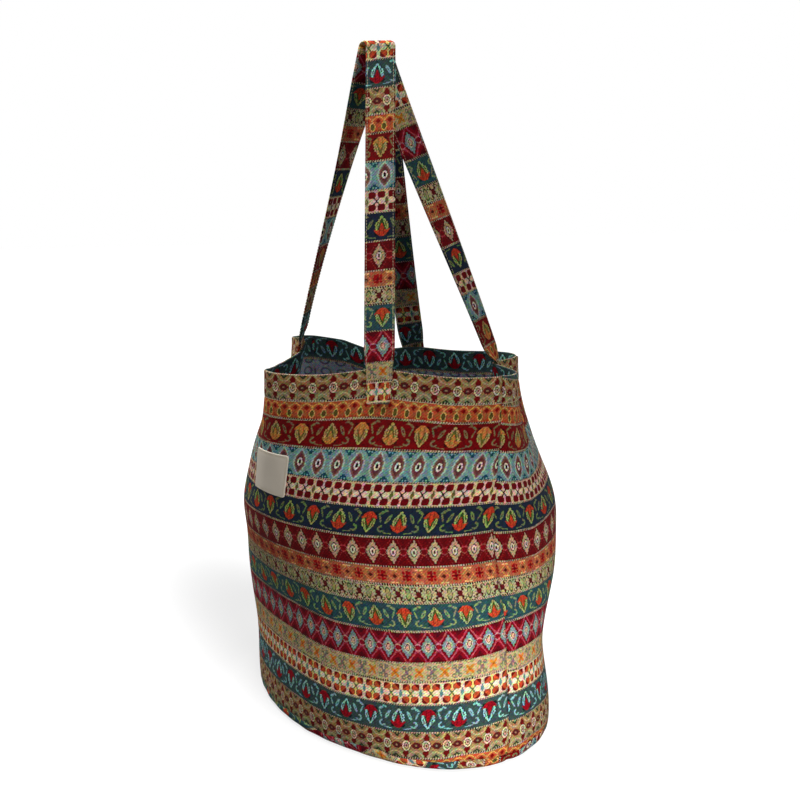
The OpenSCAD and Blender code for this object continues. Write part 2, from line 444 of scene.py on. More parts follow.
# %% Bands of rings and of eyes
def rings(u, y, band):
    x, side = mirrored(u, PITCH / 2)
    tall = abs(y)
    arch = oval(side, tall - 14.0, 8.2, 8.6)
    link = oval(side, tall, 4.4, 3.4)
    lobe = (oval(x, tall - 7.4, 3.0, 2.7) < 1.0) | ((x < 1.3) & (tall < 11.6))
    disc = oval(x, tall, 4.6, 6.0)
    red = (120, 24, 24)
    return band.plain(172, 140, 98).coats(
        (y > 4.5, 162, 150, 112),
        ((arch < 1.0) & (arch > 0.72), 198, 182, 140),
        ((side * 0.9 + 8.2) < tall, 58, 74, 50),
        ((side * 1.3 + 10.2) < tall, 150, 144, 104),
        ((link < 1.0) | ((tall < 0.7) & (side < 6.2)), *red),
        (link < 0.52, 92, 44, 44),
        (link < 0.08, 168, 140, 110),
        (lobe | (disc < 1.0), *red),
        (disc < 0.74, 226, 212, 182),
        (disc < 0.36, 122, 112, 80),
        (disc < 0.16, 216, 186, 160),
        (disc < 0.05, 120, 60, 50))


def eyes(u, y, band):
    x, side = mirrored(u, PITCH / 2)
    tall = abs(y)
    step = side.math("SNAP", side, 1.65)
    bow = tall * tall
    edge = y.fold(1.4) * 0.05
    disc = oval(x, tall, 2.7, 3.9)
    return band.plain(132, 164, 160).coats(
        ((step + 8.4) < tall, 34, 84, 98),
        ((abs(side - 1.5) + abs(tall - 12.0)) < 1.1, 146, 186, 184),
        ((x * 0.139 + bow * 0.0061 - edge) < 1.0, 182, 200, 186),
        ((x * 0.179 + bow * 0.0083 - edge) < 1.0, 140, 98, 90),
        ((x * 0.25 + bow * 0.0135) < 1.0, 114, 64, 66),
        (disc < 1.0, 232, 224, 212),
        (disc < 0.32, 44, 22, 26))


print("rings and eyes stand every %.1f mm" % PITCH)

# %% Bands of lobed medallions
def medallions(u, y, band):
    x, side = mirrored(u, PITCH / 2)
    tall = abs(y)
    late = band > 0.6
    arc = abs(x * 0.094 + tall * 0.061 - 1.0) < (0.045 + 0.02 * late)
    arm = (abs(side - tall + 4.0) < 0.5) & (tall < 12.0) & late
    lines = (arc & ((tall.fold(1.08) < 0.7) | late)) | arm
    tie = oval(side, tall, 4.0, 3.6)
    shape = ((10.4 - tall) * 0.64).lower(5.6) + tall.fold(1.5) * 0.7
    disc = oval(x, tall, 3.1, 4.6)
    return coats_by_band(
        band, (7, 11), ((116, 10, 20), (140, 12, 36)),
        ((side * 1.1 + 9.0) < tall, (112, 8, 22), (98, 14, 30)),
        (lines, (160, 60, 62), (196, 92, 106)),
        ((tie < 1.0) | ((tall < 0.7) & (side < 5.4)), (180, 84, 82), (206, 150, 150)),
        (tie < 0.5, (132, 12, 26), (158, 18, 44)),
        ((x < (shape + 0.9)) & (tall < 12.0), (78, 14, 22), (104, 14, 34)),
        ((x < shape) & (tall < 11.0), (196, 166, 136), (144, 164, 160)),
        (disc < 1.0, (52, 46, 42), (224, 212, 188)),
        (disc < 0.6, (222, 208, 188), (92, 44, 38)),
        (disc < (0.13 + 0.2 * late), (66, 36, 34), (222, 178, 156)))


print("medallions stand every %.1f mm" % PITCH)

# %% Bands of four squares
def squares(u, y, band):
    x, side = mirrored(u, PITCH / 2)
    tall = abs(y)
    cross = ((x < 1.4) & (tall < 10.0)) | ((x < 3.0) & (abs(tall - 6.0) < 1.2))
    right = abs(x - 4.7)
    top = abs(tall - 6.2)
    corner = (right < 3.6) & (top < 3.4) & ((right + top) < 5.5)
    return coats_by_band(
        band, (5, 13), ((216, 192, 158), (232, 212, 180)),
        ((side * 0.5 + tall * 0.22) < 1.0, (112, 104, 62), (112, 154, 150)),
        (cross, (226, 186, 176), (238, 212, 136)),
        (corner, (122, 10, 24), (122, 30, 26)),
        (corner & (right < 3.0) & ((x + tall) < 12.2), (116, 10, 22), (200, 92, 58)),
        (oval(x - 4.6, tall, 3.1, 2.8) < 1.0, (232, 208, 182), (240, 224, 194)),
        ((abs(x - tall * 0.85) < 0.8) & (tall < 3.6), (46, 34, 30), (96, 120, 82)))


print("blocks of squares stand every %.1f mm" % PITCH)

# %% Narrow border bands
def rows_of_drops(u, y, band):
    x, side = mirrored(u, 0.293 * PITCH)
    pale = (222, 174, 100)
    drop = oval(side, y - 3.0, 2.7, 4.4)
    return band.plain(190, 102, 66).coats(
        ((y > 5.8) & (u.fold(0.9) < 0.45), 168, 58, 30),
        (abs(y + 6.6 - x * x * 0.14) < 0.7, *pale),
        ((side < 0.6) & (y > -5.0) & (y < 0.0), *pale),
        (drop < 1.0, 222, 186, 116),
        (drop < 0.52, 100, 90, 44),
        ((x + abs(y + 2.6)) < 2.6, 140, 18, 16))


def rows_of_stars(u, y, band):
    x, side = mirrored(u, 0.6 * PITCH)
    tall = abs(y)
    plus = ((x < 4.6) & (tall < 1.3)) | ((x < 1.3) & (tall < 5.0))
    corner = (abs(x - 2.9) < 1.2) & (abs(tall - 3.1) < 1.2)
    return band.plain(188, 112, 80).coats(
        ((abs(tall - 6.3) < 0.8) & (side < 3.8), 236, 196, 140),
        (abs(side + tall * 0.9 - 5.6) < 0.5, 222, 158, 96),
        ((side * 0.9 + tall) < 2.2, 90, 34, 26),
        (plus | corner, 168, 20, 28),
        ((x + tall) < 1.9, 108, 14, 22))


def rows_of_scrolls(u, y, band):
    x, side = mirrored(u, PITCH / 2)
    tall = abs(y)
    hoop = oval(side, tall, 2.9, 6.6)
    curl = oval(x - 4.2, tall - 4.9, 2.5, 2.3)
    ink = (86, 34, 30)
    return band.plain(196, 184, 146).coats(
        (hoop < 1.0, 72, 88, 56),
        (hoop < 0.56, 176, 168, 118),
        ((curl < 1.0) & (curl > 0.28) & ((tall > 4.2) | (x < 4.2)), *ink),
        ((abs(x - tall * 0.75) < 1.0) & (tall < 4.6), *ink),
        ((x * 0.3 + tall * 0.3) < 1.0, 110, 30, 36))


def rows_of_flowers(u, y, band):
    x, side = mirrored(u, 0.612 * PITCH)
    tall = abs(y)
    arch = oval(x, tall - 11.0, 5.4, 4.6)
    curl = oval(side - 2.9, tall - 4.4, 2.2, 2.4)
    stalk = (abs(side - tall * 0.7) < 0.9) & (tall < 4.4)
    petal = (abs(x - tall * 0.9) < 1.9) & (x < 4.2) & (tall < 4.6)
    return band.plain(200, 180, 138).coats(
        ((arch < 1.0) & (arch > 0.66), 140, 132, 84),
        (((curl < 1.0) & (curl > 0.24)) | stalk, 128, 128, 108),
        ((side + tall) < 2.2, 146, 116, 124),
        (petal, 214, 142, 60),
        ((x + tall) < 1.8, 196, 104, 44))


print("narrow borders: drops, stars, scrolls and flowers")

# %% The whole cloth
def family(*members):
    """White for the bands named and black for the others, as a mask."""
    return {number: (255,) * 3 if number in members else (0,) * 3 for number in range(1, 15)}


# The tulips lie under all bands, and each other drawing covers the bands numbered after it.
DRAWINGS = [(medallions, 7, 11), (squares, 5, 13), (rings, 1), (rows_of_drops, 2), (eyes, 4),
            (rows_of_stars, 8), (rows_of_scrolls, 9), (rows_of_flowers, 12)]


def woven_colour(u, v):
    """Colour of the cloth at u along the weft and v down the warp, both in mm."""
    u = u.math("SNAP", u, CELL_WIDE) + CELL_WIDE / 2
    down = v.math("SNAP", v, CELL_HIGH) + CELL_HIGH / 2
    down = down.math("FLOORED_MODULO", down, REPEAT)
    count = down > float(BAND_TOPS[1])
    for top in BAND_TOPS[2:-1]:
        count = count + (down > float(top))
    band = (count + 0.5) * (1 / 14)
    y = down - number_by_band(band, BAND_MIDDLES)
    u = u - number_by_band(band, BAND_STARTS)
    colour = tulips(u, y, band)
    for drawing, *members in DRAWINGS:
        colour = colour.paint(by_band(band, family(*members)), drawing(u, y, band))
    gap = number_by_band(band, [height / 2 for height in BAND_HEIGHTS]) - abs(y)
    line = gap < 0.9
    dots = u.fold(1.25) < 0.65
    return colour.coats((line, 62, 36, 34), (line & dots, 206, 188, 158))


print("drawings of the weave:", len(DRAWINGS) + 1)

# %% [markdown]
# The finish of the cloth adds what the drawing lacks. Single yarns and small groups of them
# differ in shade, a twill darkens some of them, and the whole is matt without any sheen.
# The relief is kept apart from the drawing, because a Bump node works out its height three
# times for each spot.

# %% Cloth finish
def cloth_finish(name, colours):
    made, tree = material(name)
    place = tree.add("ShaderNodeUVMap", {"uv_map": "weave"})
    split = tree.add("ShaderNodeSeparateXYZ", {}, {0: place})
    u = split * 1000
    v = Strand(tree.tree, split.socket.node.outputs[1]) * 1000
    colour = colours(u, v)
    cell_u = u.math("FLOOR", u * (1 / CELL_WIDE))
    cell_v = v.math("FLOOR", v * (1 / CELL_HIGH))
    cell = tree.add("ShaderNodeCombineXYZ", {}, {0: cell_u, 1: cell_v})
    yarn = tree.add("ShaderNodeTexWhiteNoise", {"noise_dimensions": "2D"}, {"Vector": cell})
    patch = tree.add("ShaderNodeTexNoise", {}, {"Vector": place, "Scale": 34.0, "Detail": 3.0})
    slope = cell_u + cell_v
    twill = slope.math("FLOORED_MODULO", slope, 4.0) < 1.5
    pair = tree.add("ShaderNodeCombineXYZ", {}, {0: cell_u.math("FLOOR", cell_u * 0.5),
                                                 1: cell_v.math("FLOOR", cell_v * 0.5)})
    knot = tree.add("ShaderNodeTexWhiteNoise", {"noise_dimensions": "2D"}, {"Vector": pair}, 1)
    colour = tree.add("ShaderNodeMix", {"data_type": "RGBA", "blend_type": "MULTIPLY"},
                      {0: 0.5, 6: colour, 7: knot}, 2)
    colour = tree.add("ShaderNodeGamma", {}, {"Color": colour, "Gamma": 1.2})
    tone = yarn * 0.42 + patch * 0.24 + 1.0 - twill * 0.40
    grey = tree.add("ShaderNodeCombineXYZ", {}, {0: tone, 1: tone, 2: tone})
    colour = tree.add("ShaderNodeMix", {"data_type": "RGBA", "blend_type": "MULTIPLY"},
                      {0: 1.0, 6: colour, 7: grey}, 2)
    rib = u.fold(CELL_WIDE / 2) * (2 / CELL_WIDE)
    float_over = v.fold(CELL_HIGH / 2) * (2 / CELL_HIGH)
    height = rib * 0.5 + float_over * 0.5 + yarn * 0.6
    bump = tree.add("ShaderNodeBump", {}, {"Strength": 0.45, "Distance": 0.0003, "Height": height})
    surface(tree, {"Base Color": colour, "Roughness": 0.9, "Specular IOR Level": 0.08, "Normal": bump})
    return made


woven = cloth_finish("woven_cloth", woven_colour)
print("woven cloth has", len(woven.node_tree.nodes), "nodes")

# %% [markdown]
# The wrong side of a jacquard shows the yarns that float behind the drawing. It has the
# same bands, but faint and greyish blue, so a ramp on the place down the cloth, rows of
# darker rings and the yarns' own spread of shades are enough here.

# %% Wrong side of the cloth
FAINT = [(200, 211, 230), (208, 209, 214), (192, 199, 218), (188, 207, 224), (214, 215, 222),
         (204, 211, 220), (200, 197, 212), (212, 209, 210), (200, 209, 218), (194, 201, 210),
         (204, 201, 216), (214, 213, 212), (216, 215, 216), (194, 207, 218)]


def wrong_side_colour(u, v):
    down = v.math("FLOORED_MODULO", v, REPEAT)
    stops = [(float(top) / REPEAT, linear(*shade)) for top, shade in zip(BAND_TOPS[:-1], FAINT)]
    colour = down.add("ShaderNodeValToRGB", {"stops": stops}, {"Fac": down * (1 / REPEAT)})
    ring = abs(oval(u.fold(PITCH / 2), v.fold(7.0), 6.5, 5.0) - 0.8) < 0.35
    return colour.paint(ring * 0.6, linear(74, 82, 100))


wrong_side = cloth_finish("cloth_wrong_side", wrong_side_colour)
print("wrong side has", len(wrong_side.node_tree.nodes), "nodes")

# %% [markdown]
# ## Making a piece from a grid of spots
# Panels, straps, bottom and patch are all grids of spots that were worked out above. One
# helper turns a grid's quads into a mesh in metres, with a UV map that holds the place on
# the flat cloth, also in metres. That map is what keeps every motif its true size.

# %% Mesh helper
def add_piece(name, spots, faces, flat, finishes, numbers=None):
    """A smooth mesh: spots in mm, faces as lists of spots, flat as (u, v) per face corner."""
    mesh = bpy.data.meshes.new(name)
    mesh.from_pydata([tuple(spot * 0.001) for spot in spots], [], faces)
    layer = mesh.uv_layers.new(name="weave")
    layer.data.foreach_set("uv", (np.array(flat, float) * 0.001).ravel())
    for finish in finishes:
        mesh.materials.append(finish)
    if numbers is not None:
        mesh.polygons.foreach_set("material_index", numbers)
    mesh.polygons.foreach_set("use_smooth", [True] * len(mesh.polygons))
    mesh.update()
    made = bpy.data.objects.new(name, mesh)
    bpy.context.scene.collection.objects.link(made)
    return made


def dress(piece, node):
    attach(piece, "root")
    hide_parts(node)
    print(piece.name, "has", len(piece.data.polygons), "faces")


def quad(i, after, j, k, wide):
    """The face between two lines of a grid, i and after, and two places on them, j and k."""
    return [i * wide + j, i * wide + k, after * wide + k, after * wide + j]


# %% [markdown]
# ## The panels
# A panel is one sheet of cloth whose top is turned to the inside and stitched down. Its
# section is followed as one closed line: up the outside, over the fold of the rim, down
# the inside of the hem, where the right side shows again, and down the wrong side. Solidify
# could give the thickness, but not the doubled hem.

# %% Profile of a panel
outside_rows = [
    *np.linspace(SEAM, HEM_LOW - 3, 82), HEM_LOW - 1.2, HEM_LOW - 0.4, HEM_LOW + 0.6, HEM_LOW + 1.5,
    HEM_LOW + 2.6, *np.linspace(HEM_LOW + 5, RIM - 2.5, 7), RIM - 1.2, RIM - 0.5]
profile = [(z, 0.0, RIM - z) for z in outside_rows]
profile.append((RIM, 0.7, -0.2))
profile.append((RIM, 2.1, -0.9))
for z in reversed(outside_rows):
    turned_in = z >= HEM_LOW - 0.5
    profile.append((z, 2 * CLOTH if turned_in else CLOTH, z - RIM - 1.0 if turned_in else RIM - z))
WRONG_FROM = len(outside_rows) + 2 + sum(z >= HEM_LOW - 0.5 for z in outside_rows)
print("spots in a panel's section:", len(profile))


# %% Front and back panels
PANEL_STEPS = 157
panel_shares = np.linspace(-0.25, 0.25, PANEL_STEPS)


def seam_wave(share):
    round_mm = share * GIRTH
    return 1.2 * np.sin(round_mm / 17) + 0.5 * np.sin(round_mm / 7.3 + 1.0)


def bias(share, v, half):
    """How far the bands run out of level near the side seams, in mm down the cloth."""
    if half:
        upper = np.interp(share, [-0.25, -0.225, -0.20, -0.15], [-2.5, -5.6, -7, 0])
        lower = np.interp(share, [-0.25, -0.21, -0.15], [6.5, 6.5, 0])
        return mix(upper, lower, ease((v - 165) / 90))
    return np.interp(share, [0.03, 0.083, 0.151, 0.25], [0, -3, 0, 10.6]) * ease((v - 185) / 60)


def make_panel(name, half, weft_shift):
    share = panel_shares
    spots = []
    flat = []
    for z, inset, v in profile:
        line = wall(share, z, inset, half)
        line[:, 2] += seam_wave(share) * (1 - ease((z - SEAM) / 30)) * (-1 if half else 1)
        spots.append(line)
        down = v + bias(share, v, half) if v > 0 else np.full_like(share, v)
        flat.append(np.stack([share * section(z)[2] + weft_shift, down], -1))
    rows = len(spots)
    wide = len(share)
    faces = []
    corners = []
    numbers = []
    for i in range(rows):
        after = (i + 1) % rows
        level = after if i == WRONG_FROM - 1 else i
        for j in range(wide - 1):
            faces.append(quad(i, after, j, j + 1, wide))
            corners += [flat[level][j], flat[level][j + 1], flat[after][j + 1], flat[after][j]]
            numbers.append(1 if i >= WRONG_FROM - 1 else 0)
    for j, turn in ((0, False), (wide - 1, True)):
        for i in range(rows // 2 - 1):
            cap = [i, i + 1, rows - 2 - i, rows - 1 - i]
            cap = cap[::-1] if turn else cap
            faces.append([k * wide + j for k in cap])
            corners += [flat[k][j] for k in cap]
            numbers.append(0)
    return add_piece(name, np.concatenate(spots), faces, corners, [woven, wrong_side], numbers)


front_panel = make_panel("front_cloth", False, 0.0)
back_panel = make_panel("back_cloth", True, 6.0)
dress(front_panel, "front_panel")
dress(back_panel, "back_panel")

# %% [markdown]
# ## The bottom
# An oval of the same cloth, with its bands lying across it, closes the bag. Its edge turns
# up to the seam, where it follows the same small waves as the panels, so no gap shows. It
# is built from rings that run from the middle out to the seam and back on the inside.

# %% Bottom panel
# Each ring: its scale from the middle, its inset, its height and its share of the seam's waves.
TURN = 0.6 * SEAM
BOTTOM_RINGS = [
    (0.25, TURN, 0.0, 0.0), (0.5, TURN, 0.0, 0.0), (0.75, TURN, 0.0, 0.0), (0.92, TURN, 0.0, 0.0),
    (1, TURN, 0.0, 0.0), (1, 0.55 * TURN, 0.12 * TURN, 0.0), (1, 0.25 * TURN, 0.4 * TURN, 0.2),
    (1, 0.05 * TURN, 0.75 * TURN, 0.5), (1, 0.0, SEAM, 1.0), (1, CLOTH, SEAM, 1.0),
    (1, 0.3 * TURN + CLOTH, 0.4 * TURN + CLOTH, 0.2), (1, TURN + CLOTH, CLOTH, 0.0),
    (0.75, TURN + CLOTH, CLOTH, 0.0), (0.5, TURN + CLOTH, CLOTH, 0.0), (0.25, TURN + CLOTH, CLOTH, 0.0)]
OUTSIDE_RINGS = 9
BOTTOM_SHIFT = np.array([4.0, 40.0])


def bottom_ring(shrink, inset, z, wavy):
    share = panel_shares[:-1]
    halves = []
    for half in (False, True):
        line = wall(share, SEAM, inset, half)
        line[:, 2] = z + wavy * seam_wave(share) * (-1 if half else 1)
        halves.append(line * [shrink, shrink, 1])
    return np.concatenate(halves)


def make_bottom():
    lines = [bottom_ring(*ring) for ring in BOTTOM_RINGS]
    wide = len(lines[0])
    spots = np.concatenate(lines + [np.array([[0, 0, 0.0], [0, 0, CLOTH]])])
    faces = [quad(i, i + 1, j, (j + 1) % wide, wide) for i in range(len(lines) - 1) for j in range(wide)]
    last = (len(lines) - 1) * wide
    for j in range(wide):
        k = (j + 1) % wide
        faces.append([len(spots) - 2, k, j])
        faces.append([len(spots) - 1, last + j, last + k])
    numbers = [0 if i < OUTSIDE_RINGS * wide else 1 for i in range(len(faces))]
    out = spots[:, :2] / np.maximum(np.linalg.norm(spots[:, :2], axis=1, keepdims=True), 1.0)
    flat = spots[:, :2] + out * spots[:, 2:] + BOTTOM_SHIFT
    corners = [flat[k] for face in faces for k in face]
    return add_piece("bottom_cloth", spots, faces, corners, [woven, wrong_side], numbers)


bottom_panel = make_bottom()
dress(bottom_panel, "base_panel")

# %% [markdown]
# ## The handles
# Each handle is a strip of the same cloth, folded to 30 mm and sewn along both edges. It
# starts flat on the panel, twists as it leaves the rim, folds over the top point and comes
# down on the other foot. The strip is laid along one curved line, with a direction across
# it at each step, because that keeps its width true all the way.

# %% Line of a handle
STRAP_WIDE = 30
STRAP_THICK = 2.4
TOP_HEIGHT = 698
TOP_RADIUS = 5
TOP_LEAN = 9
FOOT_END = HEM_LOW - 3.5
FOOT_CORNER = 3.2
FOOT_LINES = 15
ACROSS = np.array([-math.cos(MOUTH_TURN), -math.sin(MOUTH_TURN), 0])
TOWARD = np.array([math.sin(MOUTH_TURN), -math.cos(MOUTH_TURN), 0])
UP = np.array([0, 0, 1.0])
over = np.sin(np.linspace(-0.5, 0.5, 15) * math.pi * 0.95)
over = over / over[-1] * 0.995


def unit(vector):
    return vector / np.linalg.norm(vector, axis=-1, keepdims=True)


def foot_line(centre, z, half, end):
    """One line across a foot on the wall, rounded in towards its lower end, and its outside."""
    gone = max(0.0, FOOT_CORNER - end)
    cut = FOOT_CORNER - math.sqrt(max(0.0, FOOT_CORNER ** 2 - gone ** 2))
    narrow = 1 - cut / (STRAP_WIDE / 2)
    narrow = narrow * (1 - 0.1 * float(ease((RIM - z) / 30)))
    spots = wall(centre + over * narrow * STRAP_WIDE / 2 / GIRTH, z, 0.0, half)
    spots = spots * ([-1, -1, 1] if half else [1, 1, 1])
    out = unit(spots * [1, 1, 0])
    return spots + (STRAP_THICK / 2 + 0.1) * out, out


def curve(p, q, r, s, t):
    spot = (1 - t) ** 3 * p + 3 * (1 - t) ** 2 * t * q + 3 * (1 - t) * t * t * r + t ** 3 * s
    way = (1 - t) ** 2 * (q - p) + 2 * (1 - t) * t * (r - q) + t * t * (s - r)
    return spot, unit(way)


def free_line(middle, run, wanted):
    flat = unit(wanted - (wanted @ run) * run)
    out = np.cross(flat, run)
    return middle + over[:, None] * STRAP_WIDE / 2 * flat, np.repeat(out[None], len(over), 0)


def branch(centre, top, half, rising):
    """Lines from a foot's top edge up to the fold at the top."""
    foot, foot_out = foot_line(centre, RIM, half, 99)
    foot, foot_out = (foot, foot_out) if rising else (foot[::-1], foot_out[::-1])
    low = foot[len(foot) // 2]
    wanted_foot = unit(foot[-1] - foot[0]) if rising else ACROSS
    early, power, sway = (0.28, 1.4, -8) if half else (0.10, 2.3, 0)
    knee = low + UP * STRAP_WIDE + sway * ACROSS
    lines = []
    for t in np.linspace(0, 1, 58)[1:-1]:
        middle, run = curve(low, knee, top - UP * STRAP_WIDE / 2, top, t)
        turn = early * ease(t / 0.12) + (1 - early) * t ** power
        line, out = free_line(middle, run if rising else -run, mix(wanted_foot, ACROSS, turn))
        first = free_line(low, UP if rising else -UP, wanted_foot)[0]
        hold = ease(1 - t / 0.13)
        lines.append((line + hold * (foot - first), unit(mix(out, foot_out, hold))))
    return lines


def strap_lines(sign):
    half = sign < 0
    hub = 18 * TOWARD + (sign * 19 - 4) * ACROSS + UP * (TOP_HEIGHT - TOP_RADIUS - STRAP_THICK / 2)
    lean = (1 + sign) / 2 * TOP_LEAN * ACROSS
    rises = np.linspace(3.5, RIM - FOOT_END, FOOT_LINES - 4)
    foot_rows = FOOT_END + np.concatenate([[0, 0.3, 1, 2], rises])
    left = [foot_line(-FOOT_AT, z, half, z - FOOT_END) for z in foot_rows]
    right = [foot_line(FOOT_AT, z, half, z - FOOT_END) for z in foot_rows]
    lines = left + branch(-FOOT_AT, hub + lean - TOP_RADIUS * TOWARD, half, True)
    for angle in np.linspace(math.pi, 0, 15):
        middle = hub + TOP_RADIUS * (math.cos(angle) * TOWARD + math.sin(angle) * UP)
        middle = middle + lean * (1 - math.cos(angle)) / 2
        lines.append(free_line(middle, math.sin(angle) * TOWARD - math.cos(angle) * UP, ACROSS))
    lines += branch(FOOT_AT, hub + TOP_RADIUS * TOWARD, half, False)[::-1]
    lines += [(spots[::-1], out[::-1]) for spots, out in right[::-1]]
    turned = np.array([-1, -1, 1]) if half else np.array([1, 1, 1])
    return [(spots * turned, out * turned) for spots, out in lines]


print("points across a strap:", len(over))

# %% Handles
def make_strap(name, sign, knots, weft_shift, slant):
    """A folded strip, where knots pair the length along it with the place on the cloth, in mm."""
    lines = strap_lines(sign)
    middles = np.array([spots[len(over) // 2] for spots, out in lines])
    along = np.concatenate([[0], np.cumsum(np.linalg.norm(np.diff(middles, axis=0), axis=1))])
    puff = STRAP_THICK / 2 * np.sqrt(1 - np.abs(over) ** 10)
    spots = []
    flat = []
    for (line, out), far in zip(lines, along):
        outer = line + out * puff[:, None]
        inner = line - out * puff[:, None]
        spots.append(np.concatenate([outer, inner[::-1]]))
        u = -np.concatenate([over, 2 - over[::-1]]) * STRAP_WIDE / 2
        v = np.interp(far, *zip(*knots))
        flat.append(np.stack([u + weft_shift, v + slant * u], -1))
    rows = len(spots)
    wide = len(spots[0])
    faces = [quad(i, i + 1, j, (j + 1) % wide, wide) for i in range(rows - 1) for j in range(wide)]
    for i, turn in ((0, True), (rows - 1, False)):
        for j in range(len(over) - 1):
            cap = [j, j + 1, wide - 2 - j, wide - 1 - j]
            cap = cap[::-1] if turn else cap
            faces.append([i * wide + k for k in cap])
    flat = np.concatenate(flat)
    corners = [flat[k] for face in faces for k in face]
    print(name, "is %.0f mm long" % along[-1])
    return add_piece(name, np.concatenate(spots), faces, corners, [woven])


FRONT_KNOTS = [(0, -66), (261, 185), (359, 290), (490, 409), (603, 515), (663, 578), (732, 651)]
BACK_KNOTS = [(0, -8), (390, 357), (678, 618), (777, 717)]
front_handle = make_strap("front_strap", 1, FRONT_KNOTS, 230.0, 0.09)
back_handle = make_strap("back_strap", -1, BACK_KNOTS, 233.0, 0.04)
dress(front_handle, "front_handle")
dress(back_handle, "back_handle")

# %% [markdown]
# ## The patch
# A small blank patch of pale, soft leather is sewn on the front panel near its left foot.
# It is thin, with rounded corners and an edge that the stitches press down.

# %% Finish of the patch
def patch_finish():
    made, tree = material("label_patch")
    place = tree.add("ShaderNodeTexCoord", output=3)
    grain = tree.add("ShaderNodeTexVoronoi", {}, {"Vector": place, "Scale": 900.0})
    cloud = tree.add("ShaderNodeTexNoise", {}, {"Vector": place, "Scale": 60.0, "Detail": 4.0})
    colour = tree.plain(200, 190, 174).paint(cloud * 0.5, linear(186, 176, 162))
    bump = tree.add("ShaderNodeBump", {}, {"Strength": 0.25, "Distance": 0.0002, "Height": grain})
    surface(tree, {"Base Color": colour, "Roughness": cloud * 0.2 + 0.55,
                   "Specular IOR Level": 0.35, "Normal": bump})
    return made


patch_leather = patch_finish()
print("patch finish has", len(patch_leather.node_tree.nodes), "nodes")

# %% Patch
PATCH_WIDE = 62
PATCH_HIGH = 43
PATCH_TOP = RIM - 80
PATCH_AT = 17 / GIRTH
PATCH_TILT = math.radians(0.8)
PATCH_CORNER = 3.5
STITCH_IN = 2.2


def patch_spot(x, y, lift):
    """A spot of the patch from its middle, at x to the right and y upwards, in mm."""
    right = x * math.cos(PATCH_TILT) + y * math.sin(PATCH_TILT)
    high = PATCH_TOP - PATCH_HIGH / 2 + y * math.cos(PATCH_TILT) - x * math.sin(PATCH_TILT)
    return wall([PATCH_AT + right / GIRTH], high, -lift)[0]


def patch_corner(x, y):
    """The same spot, drawn in where it lies in a rounded corner."""
    dx = max(0.0, abs(x) - (PATCH_WIDE / 2 - PATCH_CORNER))
    dy = max(0.0, abs(y) - (PATCH_HIGH / 2 - PATCH_CORNER))
    if dx == 0 or dy == 0:
        return x, y
    scale = max(dx, dy) / math.hypot(dx, dy)
    return x - math.copysign(dx * (1 - scale), x), y - math.copysign(dy * (1 - scale), y)


def make_patch():
    xs = np.concatenate([[-31, -30.6, -30, -29], np.linspace(-27.5, 27.5, 23), [29, 30, 30.6, 31]])
    ys = np.concatenate([[-21.5, -21.1, -20.5, -19.5], np.linspace(-18, 18, 15),
                         [19.5, 20.5, 21.1, 21.5]])
    spots = []
    flat = []
    for layer in (1, 0):
        for y in ys:
            for x in xs:
                edge = min(PATCH_WIDE / 2 - abs(x), PATCH_HIGH / 2 - abs(y))
                thick = 0.35 + 0.65 * math.sqrt(1 - max(0.0, 1 - edge / 1.2) ** 2)
                pressed = 0.3 * math.exp(-((edge - STITCH_IN) / 0.8) ** 2)
                spots.append(patch_spot(*patch_corner(x, y), (thick - pressed) if layer else -0.2))
                flat.append((x, y))
    wide = len(xs)
    size = wide * len(ys)
    faces = []
    for i in range(len(ys) - 1):
        for j in range(wide - 1):
            a = i * wide + j
            faces.append([a, a + 1, a + wide + 1, a + wide])
            faces.append([size + a, size + a + wide, size + a + wide + 1, size + a + 1])
    ring = list(range(wide)) + [i * wide + wide - 1 for i in range(1, len(ys))]
    ring += [size - 1 - j for j in range(1, wide)] + [i * wide for i in range(len(ys) - 2, 0, -1)]
    for a, b in zip(ring, ring[1:] + ring[:1]):
        faces.append([a, size + a, size + b, b])
    corners = [flat[k] for face in faces for k in face]
    return add_piece("front_patch", np.array(spots), faces, corners, [patch_leather])


front_patch = make_patch()
dress(front_patch, "label")

# %% [markdown]
# ## The stitches
# Sewing shows as rows of short threads: round the hem, along the straps, in a box on each
# foot and round the patch. Geometry Nodes lay one small thread after the other along a
# line of spots, so that a stitch's length and thickness are inputs that can be changed.

# %% Thread finish
def thread_finish(name, shade):
    made, tree = material(name)
    place = tree.add("ShaderNodeTexCoord", output=3)
    fibre = tree.add("ShaderNodeTexNoise", {}, {"Vector": place, "Scale": 700.0, "Detail": 2.0})
    colour = tree.plain(*shade).paint(fibre * 0.6, linear(*[value * 0.7 for value in shade]))
    surface(tree, {"Base Color": colour, "Roughness": 0.7, "Specular IOR Level": 0.3})
    return made


pale_thread = thread_finish("pale_thread", (206, 190, 154))
print("thread finish:", pale_thread.name)

